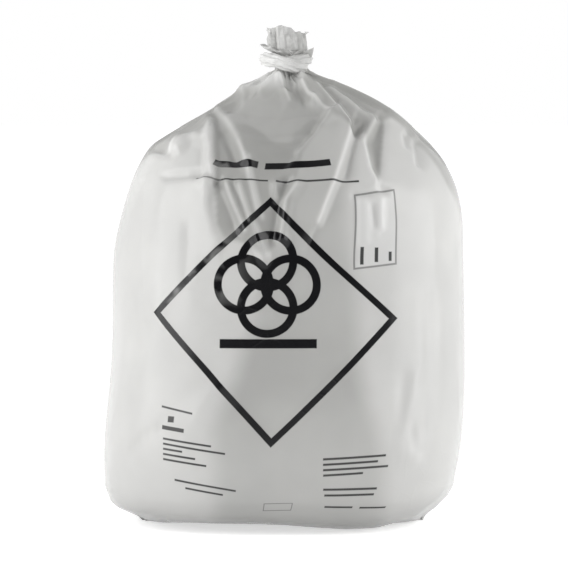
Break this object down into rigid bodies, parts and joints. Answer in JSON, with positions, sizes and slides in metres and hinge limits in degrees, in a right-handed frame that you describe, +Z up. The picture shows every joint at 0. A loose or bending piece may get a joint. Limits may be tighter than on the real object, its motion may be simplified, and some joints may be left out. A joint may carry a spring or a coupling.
{
  "type": "knotted infectious waste bag",
  "caption": "Filled waste bag of milky see-through film, gathered and knotted at the top with a ruffled mouth, standing upright on its welded base.",
  "frame": {"origin": "middle of the base, on the floor that the bag stands on", "axes": "+Z up through the knot, +X along the wide side, the printed face looks along -Y"},
  "size_m": [0.5312, 0.38, 0.7291],
  "materials": {
    "film": "gloss",
    "gathered_film": "gloss",
    "load": "matte"
  },
  "bodies": {
    "bag": {"film_wall": "film", "bottom_weld": "gathered_film", "corner_ears": "gathered_film", "waste_load": "load", "neck_rope": "gathered_film"},
    "knot": {"knot_core": "gathered_film", "knot_wrap": "gathered_film"},
    "tuft": {"mouth_tuft": "gathered_film"}
  },
  "joints": [
    {"name": "knot_tilt", "type": "hinge", "parent": "bag", "child": "knot", "pos_m": [0.0092, 0, 0.661], "axis": [0, 1, 0], "range_deg": [-20, 20]},
    {"name": "tuft_nod", "type": "hinge", "parent": "knot", "child": "tuft", "pos_m": [0.0092, 0, 0.699], "axis": [1, 0, 0], "range_deg": [-35, 35]}
  ]
}
